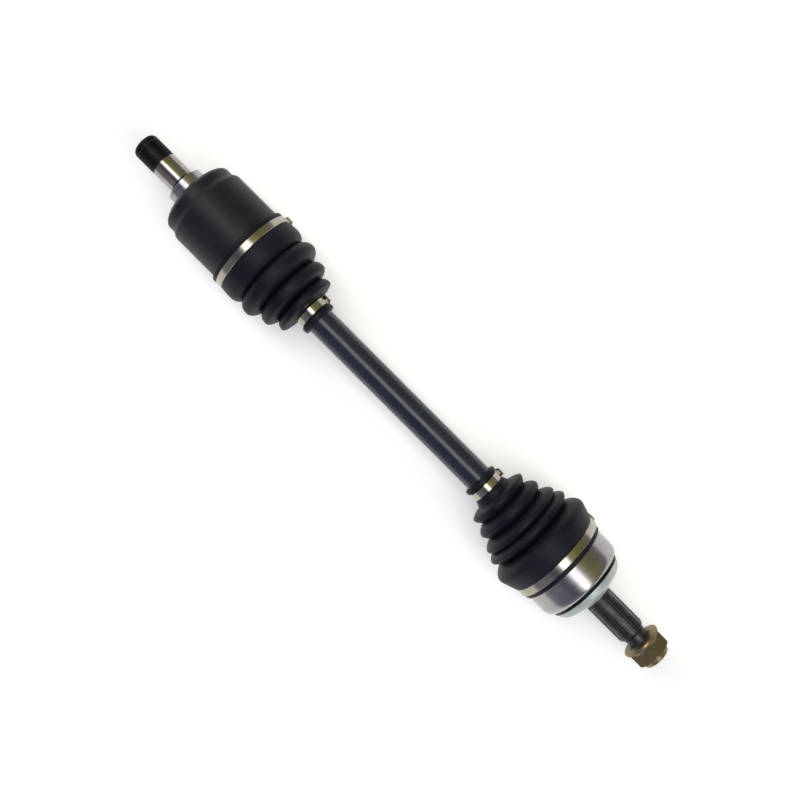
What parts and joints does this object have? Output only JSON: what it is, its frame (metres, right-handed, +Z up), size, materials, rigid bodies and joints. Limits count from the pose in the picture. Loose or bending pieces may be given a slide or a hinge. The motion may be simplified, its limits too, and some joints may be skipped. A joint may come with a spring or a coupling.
{
  "type": "cv axle",
  "caption": "Straight drive half shaft with a plunging tripod joint inboard and a fixed ball joint outboard, each under a clamped rubber boot, with splined stubs.",
  "frame": {"origin": "on the axle's axis, at the outboard end of the ground land of the inboard stub", "axes": "+X along the axle, from the gearbox end towards the wheel end; +Z up, through the top trunnion of the tripod joint"},
  "size_m": [0.6267, 0.099, 0.099],
  "materials": {
    "housing_paint": "smooth satin black paint over a forged and turned steel can",
    "clamp_band": "rolled stainless band, semi-bright",
    "boot_rubber": "matt moulded boot rubber",
    "bearing_steel": "ground bearing steel under a film of grease",
    "spring_steel": "oil-blackened spring steel",
    "shaft_paint": "satin blue-black paint on a forged bar",
    "forged_steel": "machined and hardened forging",
    "turned_steel": "bright turned steel with a fine feed mark",
    "zinc_nut": "yellow passivated zinc plating"
  },
  "bodies": {
    "inboard_housing": {"inboard_housing": "housing_paint", "stub_retaining_ring": "spring_steel", "inboard_wide_clamp": "clamp_band", "inboard_boot": "boot_rubber"},
    "top_roller": {"roller_top": "bearing_steel", "needles_top": "bearing_steel"},
    "half_shaft": {"half_shaft": "shaft_paint", "tripod_spider": "forged_steel", "spider_snap_ring": "spring_steel", "roller_washer_top": "forged_steel", "roller_washer_left": "forged_steel", "roller_washer_right": "forged_steel", "roller_snap_ring_top": "spring_steel", "roller_snap_ring_left": "spring_steel", "roller_snap_ring_right": "spring_steel", "inboard_narrow_clamp": "clamp_band", "outboard_narrow_clamp": "clamp_band", "outboard_boot": "boot_rubber", "inner_race": "forged_steel", "inner_race_circlip": "spring_steel"},
    "left_roller": {"roller_left": "bearing_steel", "needles_left": "bearing_steel"},
    "right_roller": {"roller_right": "bearing_steel", "needles_right": "bearing_steel"},
    "ball_cage": {"ball_cage": "forged_steel", "ball_1": "bearing_steel", "ball_2": "bearing_steel", "ball_3": "bearing_steel", "ball_4": "bearing_steel", "ball_5": "bearing_steel", "ball_6": "bearing_steel"},
    "outboard_bell": {"outboard_bell": "turned_steel", "outboard_wide_clamp": "clamp_band"},
    "axle_nut": {"axle_nut": "zinc_nut"}
  },
  "joints": [
    {"name": "plunge", "type": "slide", "parent": "inboard_housing", "child": "top_roller", "axis": [1, 0, 0], "range_m": [-0.015, 0.015], "deforming": ["inboard_boot"]},
    {"name": "inboard_tilt", "type": "hinge", "parent": "top_roller", "child": "half_shaft", "pos_m": [0.059, 0, 0], "axis": [0, 0, 1], "range_deg": [-20, 20], "deforming": ["inboard_boot"]},
    {"name": "left_roller_spin", "type": "hinge", "parent": "half_shaft", "child": "left_roller", "pos_m": [0.059, 0.01862, -0.01075], "axis": [0, 0.866, -0.5], "range_deg": [-60, 60]},
    {"name": "right_roller_spin", "type": "hinge", "parent": "half_shaft", "child": "right_roller", "pos_m": [0.059, -0.01862, -0.01075], "axis": [0, -0.866, -0.5], "range_deg": [-60, 60]},
    {"name": "outboard_tilt", "type": "hinge", "parent": "half_shaft", "child": "outboard_bell", "pos_m": [0.47, 0, 0], "axis": [0, 0, 1], "range_deg": [-45, 45], "deforming": ["outboard_boot"]},
    {"name": "cage_tilt", "type": "hinge", "parent": "half_shaft", "child": "ball_cage", "pos_m": [0.47, 0, 0], "axis": [0, 0, 1], "range_deg": [-23, 23]},
    {"name": "nut_turn", "type": "hinge", "parent": "outboard_bell", "child": "axle_nut", "pos_m": [0.565, 0, 0], "axis": [1, 0, 0], "continuous": true}
  ],
  "couplings": [
    {"joint": "left_roller_spin", "follows": "plunge", "rad_per_m": 64.516},
    {"joint": "right_roller_spin", "follows": "plunge", "rad_per_m": -64.516},
    {"joint": "cage_tilt", "follows": "outboard_tilt", "ratio": 0.5}
  ]
}
